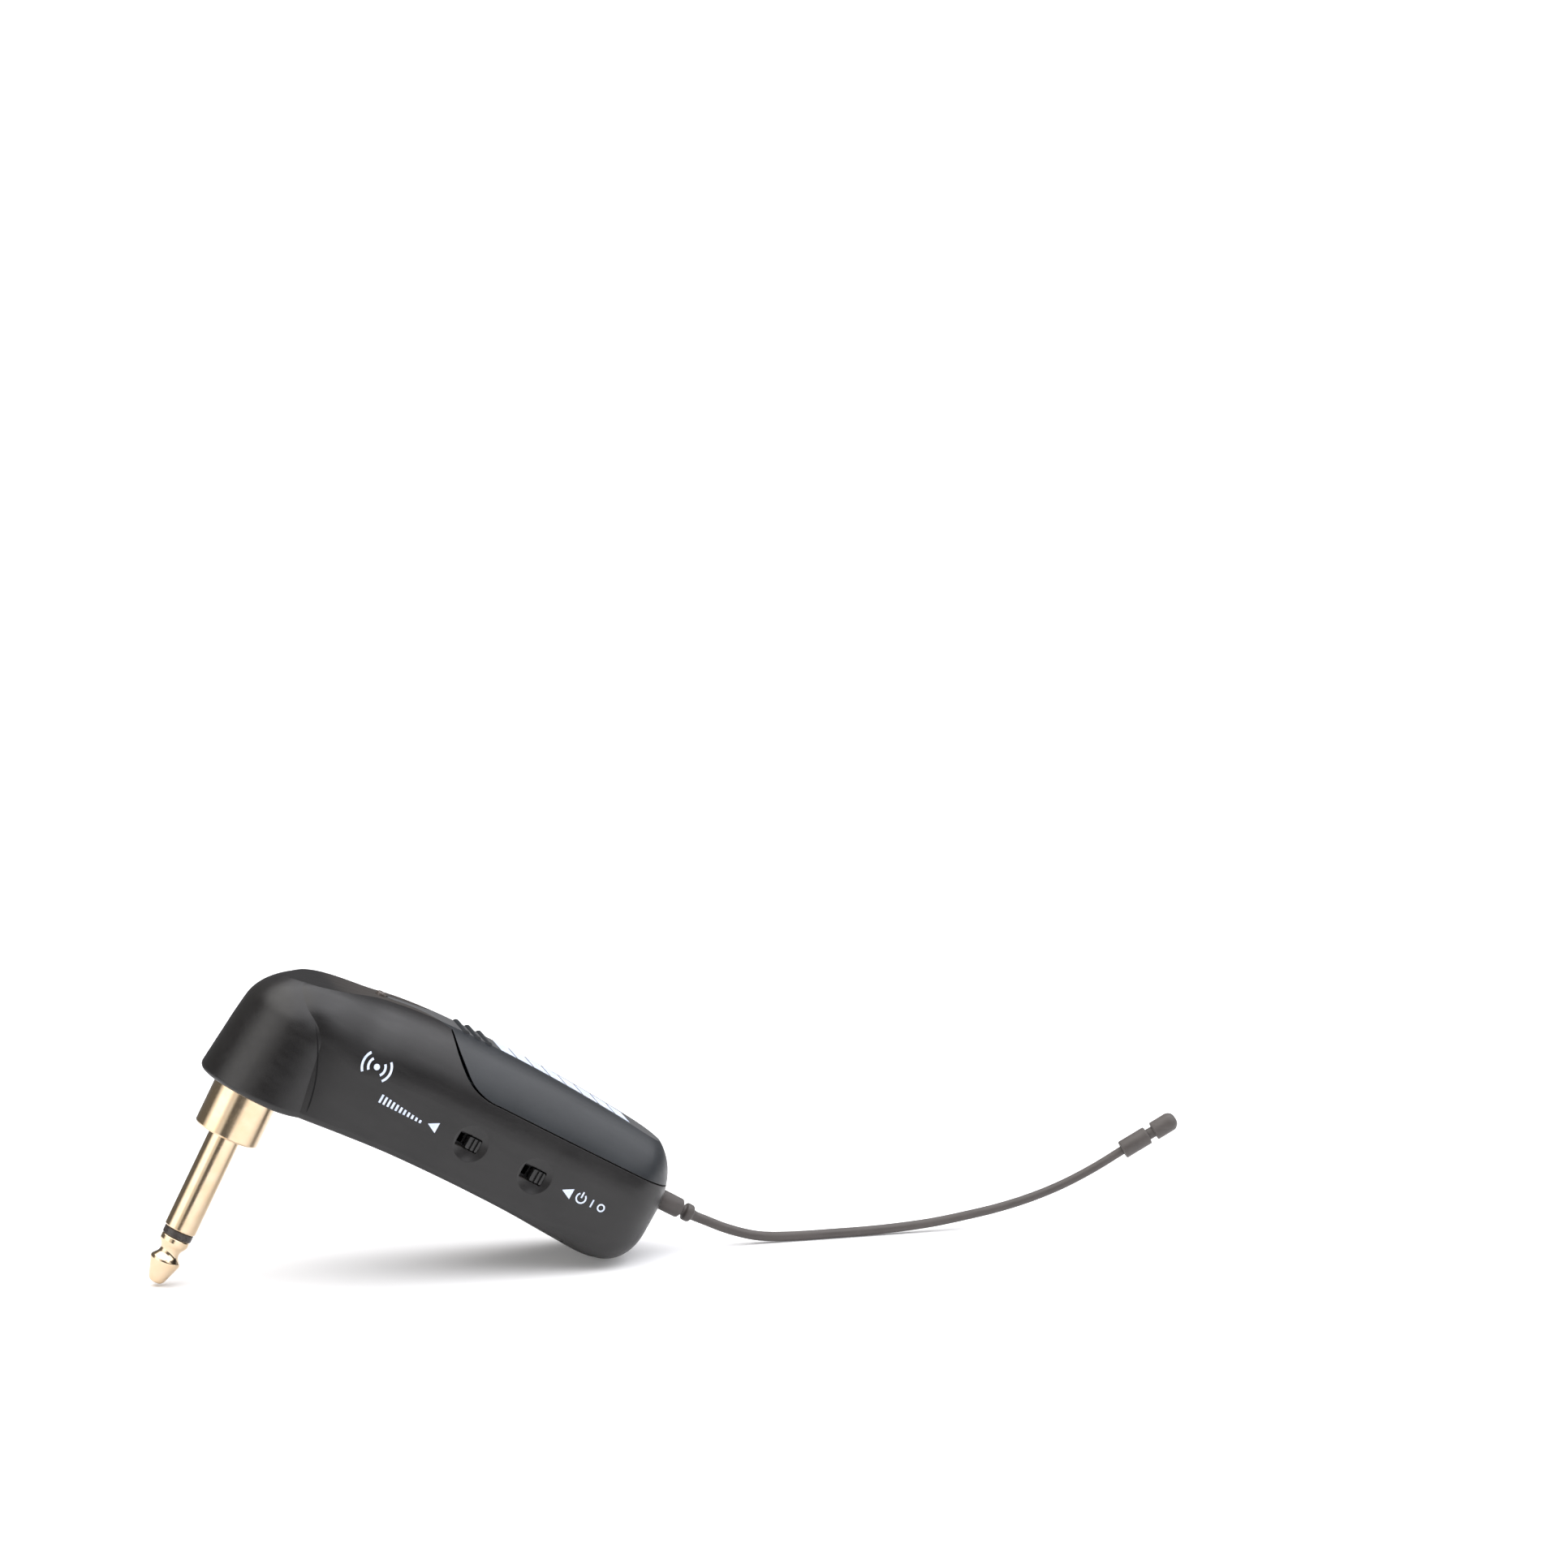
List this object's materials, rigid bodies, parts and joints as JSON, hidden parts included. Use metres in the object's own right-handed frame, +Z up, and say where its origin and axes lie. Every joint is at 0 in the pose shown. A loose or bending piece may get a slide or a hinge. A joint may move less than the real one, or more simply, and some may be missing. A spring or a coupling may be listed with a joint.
{
  "type": "wireless guitar transmitter",
  "caption": "Plug-in wireless guitar transmitter: curved plastic body with a gold quarter-inch jack plug under its head, slide switches on one side, a battery cover and a flexible whip aerial.",
  "frame": {"origin": "centre of the plug collar's lower face, on the plug axis", "axes": "+Z is up with the transmitter resting on a table on its plug end and tail, +X runs level towards the aerial, +Y is the side away from the switches"},
  "size_m": [0.2044, 0.0278, 0.0605],
  "materials": {
    "housing_plastic": "fine matt texture, charcoal",
    "cover_plastic": "fine matt texture, blue-grey",
    "inner_plastic": "moulded, plain",
    "cell_wrap": "printed sleeve",
    "plated_steel": "nickel plated",
    "board": "solder mask",
    "tinned_steel": "tinned",
    "chip_resin": "moulded resin",
    "ceramic": "fired",
    "can_aluminium": "drawn can",
    "clear_acrylic": "polished",
    "knob_plastic": "moulded, ridged",
    "screw_steel": "blackened",
    "gold_plate": "gold flash, polished",
    "insulator": "moulded",
    "wire_insulation": "extruded",
    "aerial_rubber": "warm dark grey, satin"
  },
  "bodies": {
    "housing": {"main_housing": "housing_plastic", "bottom_cover": "housing_plastic", "battery_tray": "inner_plastic", "battery_cell": "cell_wrap", "battery_contact_plates": "plated_steel", "battery_spring": "plated_steel", "circuit_board": "board", "rf_shield_can": "tinned_steel", "board_chips": "chip_resin", "board_passives": "ceramic", "board_capacitor": "can_aluminium", "led_chip": "ceramic", "led_light_pipe": "clear_acrylic", "pad_switch_case": "tinned_steel", "power_switch_case": "tinned_steel", "case_screws": "screw_steel", "board_screws": "screw_steel", "plug_collar": "gold_plate", "plug_sleeve": "gold_plate", "plug_tip": "gold_plate", "plug_insulator_ring": "insulator", "plug_inner_insulator": "insulator", "plug_lock_nut": "plated_steel", "plug_lugs": "plated_steel", "plug_wires": "wire_insulation", "battery_leads": "wire_insulation", "antenna_lead": "wire_insulation", "antenna_core": "plated_steel", "antenna_boot": "aerial_rubber"},
    "battery_cover": {"battery_cover": "cover_plastic"},
    "pad_knob": {"pad_switch_knob": "knob_plastic"},
    "power_knob": {"power_switch_knob": "knob_plastic"},
    "aerial": {"antenna_whip": "aerial_rubber", "antenna_cap_base": "aerial_rubber", "antenna_cap_end": "aerial_rubber"}
  },
  "joints": [
    {"name": "pad_switch_slide", "type": "slide", "parent": "housing", "child": "pad_knob", "axis": [0.8643, 0, -0.503], "range_m": [-0.0021, 0]},
    {"name": "power_switch_slide", "type": "slide", "parent": "housing", "child": "power_knob", "axis": [0.8643, 0, -0.503], "range_m": [-0.0021, 0]},
    {"name": "battery_cover_slide", "type": "slide", "parent": "housing", "child": "battery_cover", "axis": [1, 0, 0], "range_m": [0, 0.065]},
    {"name": "aerial_flex", "type": "hinge", "parent": "housing", "child": "aerial", "pos_m": [0.09049, 0, -0.0216], "axis": [0.503, 0, 0.8643], "range_deg": [-20, 20], "stiffness_Nm_per_rad": 0.02}
  ]
}
